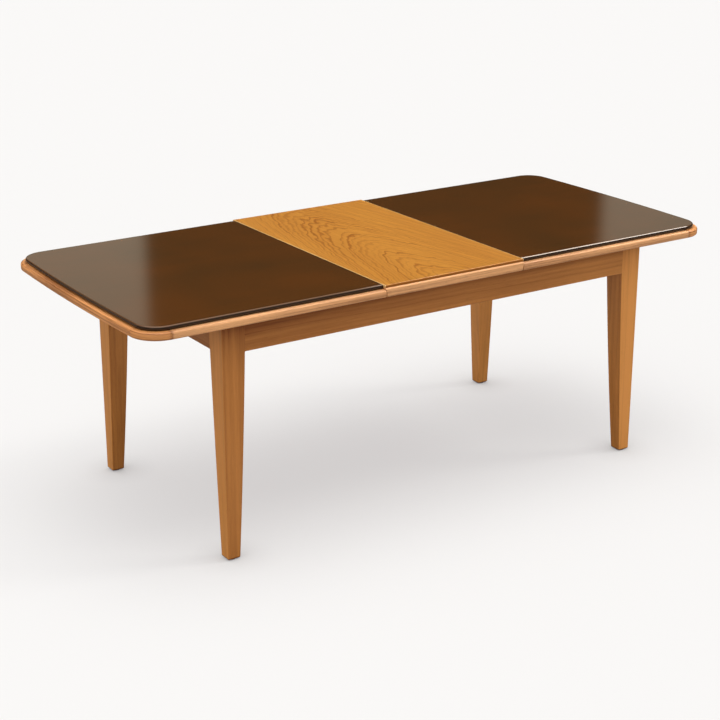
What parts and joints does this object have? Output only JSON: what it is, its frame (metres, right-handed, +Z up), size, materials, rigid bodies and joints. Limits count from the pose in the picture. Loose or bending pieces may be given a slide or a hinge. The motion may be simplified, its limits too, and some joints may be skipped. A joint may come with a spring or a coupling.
{
  "type": "extending dining table",
  "caption": "Extending dining table shown open: two dark half-tops on hidden runners, a pale lift-out centre leaf, rounded wooden edging, and a frame of tapered square legs.",
  "frame": {"origin": "on the floor under the middle of the open table", "axes": "+X along the table to the right, +Y across it to the back, +Z up"},
  "size_m": [2.0498, 0.9, 0.75],
  "materials": {
    "frame_wood": "satin honey lacquer on solid wood",
    "edging_wood": "satin lacquer on solid beech edging",
    "leaf_wood": "satin lacquer on oak",
    "dark_panel": "high-gloss dark brown lacquer, polished",
    "inner_wood": "plain sealed wood",
    "runner_wood": "waxed hardwood",
    "zinc_steel": "zinc plated",
    "glide_plastic": "moulded, low friction"
  },
  "bodies": {
    "frame": {"apron_back": "frame_wood", "apron_front": "frame_wood", "apron_left": "frame_wood", "apron_right": "frame_wood", "corner_brace_back_left": "inner_wood", "corner_brace_back_right": "inner_wood", "corner_brace_front_left": "inner_wood", "corner_brace_front_right": "inner_wood", "floor_glides": "glide_plastic", "glide_strips": "glide_plastic", "guide_centre_back": "runner_wood", "guide_centre_front": "runner_wood", "guide_left_back": "runner_wood", "guide_left_front": "runner_wood", "guide_right_back": "runner_wood", "guide_right_front": "runner_wood", "guide_screws": "zinc_steel", "leg_back_left": "frame_wood", "leg_back_right": "frame_wood", "leg_bolts": "zinc_steel", "leg_front_left": "frame_wood", "leg_front_right": "frame_wood", "leg_nuts": "zinc_steel", "leg_washers": "zinc_steel", "rail_centre": "inner_wood", "rail_left": "inner_wood", "rail_right": "inner_wood"},
    "left_top": {"board_left": "inner_wood", "edging_back_left": "edging_wood", "edging_corner_back_left": "edging_wood", "edging_corner_front_left": "edging_wood", "edging_end_left": "edging_wood", "edging_front_left": "edging_wood", "panel_left": "dark_panel", "runner_back_left": "runner_wood", "runner_front_left": "runner_wood", "runner_screws_left": "zinc_steel", "stop_pegs_left": "runner_wood"},
    "right_top": {"board_right": "inner_wood", "edging_back_right": "edging_wood", "edging_corner_back_right": "edging_wood", "edging_corner_front_right": "edging_wood", "edging_end_right": "edging_wood", "edging_front_right": "edging_wood", "panel_right": "dark_panel", "runner_back_right": "runner_wood", "runner_front_right": "runner_wood", "runner_screws_right": "zinc_steel", "stop_pegs_right": "runner_wood"},
    "leaf": {"batten_screws": "zinc_steel", "leaf_batten_back": "inner_wood", "leaf_batten_front": "inner_wood", "leaf_board": "leaf_wood", "leaf_edging_back": "edging_wood", "leaf_edging_front": "edging_wood", "leaf_pegs": "runner_wood"}
  },
  "joints": [
    {"name": "leaf_lift", "type": "slide", "parent": "frame", "child": "leaf", "axis": [0, 0, 1], "range_m": [0, 1.25]},
    {"name": "left_top_slide", "type": "slide", "parent": "frame", "child": "left_top", "axis": [1, 0, 0], "range_m": [0, 0.25]},
    {"name": "right_top_slide", "type": "slide", "parent": "frame", "child": "right_top", "axis": [-1, 0, 0], "range_m": [0, 0.25]}
  ],
  "couplings": [
    {"joint": "left_top_slide", "follows": "leaf_lift", "ratio": 0.2},
    {"joint": "right_top_slide", "follows": "leaf_lift", "ratio": 0.2}
  ]
}
